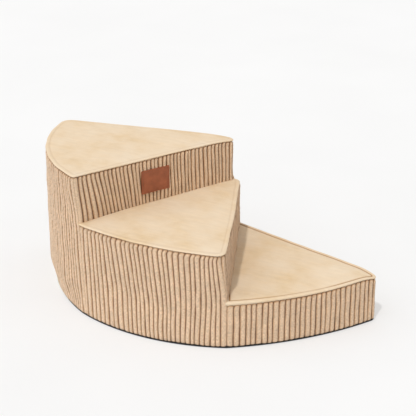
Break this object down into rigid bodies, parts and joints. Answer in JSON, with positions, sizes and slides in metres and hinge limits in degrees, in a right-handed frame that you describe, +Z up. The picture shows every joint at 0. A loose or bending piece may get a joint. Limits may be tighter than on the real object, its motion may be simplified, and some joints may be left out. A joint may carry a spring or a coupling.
{
  "type": "pet stair",
  "caption": "Curved upholstered foam pet stair whose wedge-shaped treads fan round one corner, with a zipped corduroy cover and suede tops.",
  "frame": {"origin": "centre of the bounding box on the floor, at the resting face", "axes": "+X from the highest step towards the lowest, along the longest extent; +Y towards the apex at the back; +Z up"},
  "size_m": [0.962, 0.4926, 0.381],
  "materials": {
    "corduroy": "wide-wale corduroy plush, matt",
    "suede": "smooth microsuede, soft sheen",
    "foam": "open-cell foam",
    "topper_foam": "soft open-cell foam",
    "non_slip_fabric": "black non-slip fabric with rubber dots",
    "black_piping": "black woven binding",
    "leather": "reddish-brown grained leather, semi-matt",
    "thread": "waxed thread",
    "zip_tape": "woven tape",
    "zip_plastic": "nylon coil",
    "zip_metal": "bronze-coloured die-cast zinc"
  },
  "bodies": {
    "steps": {"back_hem": "corduroy", "back_wall_high": "corduroy", "back_wall_low": "corduroy", "base_fabric": "non_slip_fabric", "base_piping": "black_piping", "foam_bottom": "foam", "foam_middle": "foam", "foam_top": "foam", "leather_patch": "leather", "outer_wall_bottom": "corduroy", "outer_wall_middle": "corduroy", "outer_wall_top": "corduroy", "patch_stitching": "thread", "riser_lower": "corduroy", "riser_upper": "corduroy", "rolled_edge_bottom": "suede", "rolled_edge_middle": "suede", "rolled_edge_top": "suede", "topper_bottom": "topper_foam", "topper_middle": "topper_foam", "topper_top": "topper_foam", "tread_bottom": "suede", "tread_middle": "suede", "tread_top": "suede", "zip_coil_lower": "zip_plastic", "zip_coil_upper": "zip_plastic", "zip_stop_inner": "zip_plastic", "zip_stop_outer": "zip_plastic", "zip_tab_inner": "corduroy", "zip_tab_outer": "corduroy", "zip_tape_lower": "zip_tape", "zip_tape_upper": "zip_tape"},
    "slider": {"zip_slider": "zip_metal"},
    "pull": {"zip_pull": "zip_metal"}
  },
  "joints": [
    {"name": "zip_slide", "type": "slide", "parent": "steps", "child": "slider", "axis": [-0.9692, -0.2462, 0], "range_m": [0, 0.372]},
    {"name": "pull_swing", "type": "hinge", "parent": "slider", "child": "pull", "pos_m": [-0.05392, 0.2321, 0.04], "axis": [0, 0, -1], "range_deg": [0, 175]}
  ]
}
